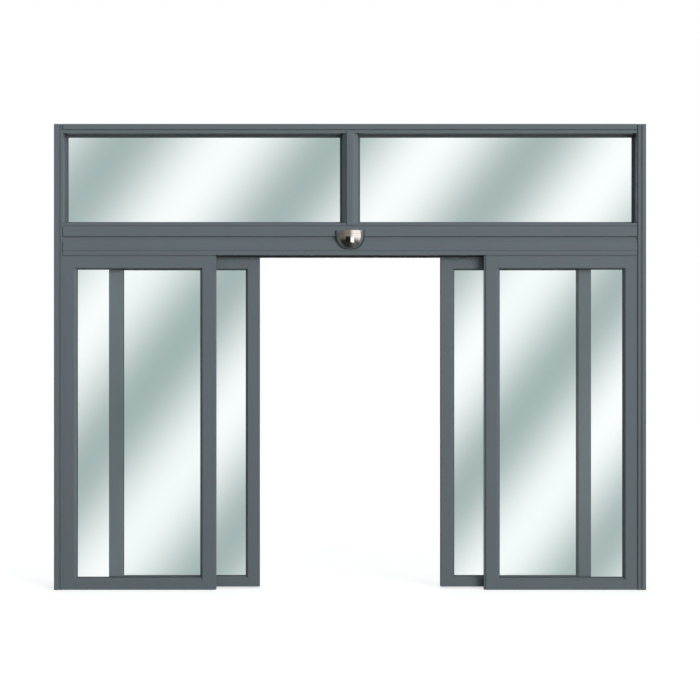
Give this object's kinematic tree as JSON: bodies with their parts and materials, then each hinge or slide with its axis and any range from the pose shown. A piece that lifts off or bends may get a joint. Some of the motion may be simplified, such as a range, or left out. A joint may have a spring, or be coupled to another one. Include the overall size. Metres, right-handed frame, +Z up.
{
  "type": "automatic bi-parting aluminium sliding door",
  "caption": "Wide automatic sliding door: glazed leaves part behind fixed side screens under an operator header with a bowl-shaped motion sensor and a fanlight.",
  "frame": {"origin": "wall face of the left jamb, at floor level and mid depth", "axes": "+X to the right along the door, +Y from the outside face to the inside, +Z up"},
  "size_m": [3.9, 0.29, 3.07],
  "materials": {
    "frame_powder_coat": "satin slate-grey powder coat on aluminium",
    "clear_glass": "clear toughened glass with a slight green-blue tint",
    "sensor_chrome": "polished",
    "track_aluminium": "mill finish",
    "fittings_steel": "zinc-plated steel",
    "seal_rubber": "matt black",
    "brush_pile": "dark woven pile"
  },
  "bodies": {
    "frame": {"left_jamb": "frame_powder_coat", "right_jamb": "frame_powder_coat", "head_rail": "frame_powder_coat", "transom": "frame_powder_coat", "fanlight_mullion": "frame_powder_coat", "fanlight_glass_left": "clear_glass", "fanlight_glass_right": "clear_glass", "fanlight_top_beads": "frame_powder_coat", "fanlight_bottom_beads": "frame_powder_coat", "fanlight_left_beads": "frame_powder_coat", "fanlight_right_beads": "frame_powder_coat", "fanlight_mullion_beads": "frame_powder_coat", "header_cover_front": "frame_powder_coat", "header_cover_back": "frame_powder_coat", "header_track": "track_aluminium", "sensor_front": "sensor_chrome", "sensor_back": "sensor_chrome", "left_screen_jamb_stile": "frame_powder_coat", "left_screen_meeting_stile": "frame_powder_coat", "left_screen_top_rail": "frame_powder_coat", "left_screen_bottom_rail": "frame_powder_coat", "left_screen_glass": "clear_glass", "left_brush_seal": "brush_pile", "right_screen_jamb_stile": "frame_powder_coat", "right_screen_meeting_stile": "frame_powder_coat", "right_screen_top_rail": "frame_powder_coat", "right_screen_bottom_rail": "frame_powder_coat", "right_screen_glass": "clear_glass", "right_brush_seal": "brush_pile", "left_floor_guide": "fittings_steel", "right_floor_guide": "fittings_steel"},
    "left_leaf": {"left_leaf_trailing_stile": "frame_powder_coat", "left_leaf_leading_stile": "frame_powder_coat", "left_leaf_top_rail": "frame_powder_coat", "left_leaf_bottom_rail": "frame_powder_coat", "left_leaf_glass": "clear_glass", "left_leaf_nose_seal": "seal_rubber", "left_leaf_carriages": "fittings_steel"},
    "right_leaf": {"right_leaf_trailing_stile": "frame_powder_coat", "right_leaf_leading_stile": "frame_powder_coat", "right_leaf_top_rail": "frame_powder_coat", "right_leaf_bottom_rail": "frame_powder_coat", "right_leaf_glass": "clear_glass", "right_leaf_nose_seal": "seal_rubber", "right_leaf_carriages": "fittings_steel"}
  },
  "joints": [
    {"name": "left_leaf_slide", "type": "slide", "parent": "frame", "child": "left_leaf", "axis": [1, 0, 0], "range_m": [-0.28, 0.5975]},
    {"name": "right_leaf_slide", "type": "slide", "parent": "frame", "child": "right_leaf", "axis": [-1, 0, 0], "range_m": [-0.28, 0.5975]}
  ],
  "couplings": [
    {"joint": "right_leaf_slide", "follows": "left_leaf_slide", "ratio": 1}
  ]
}
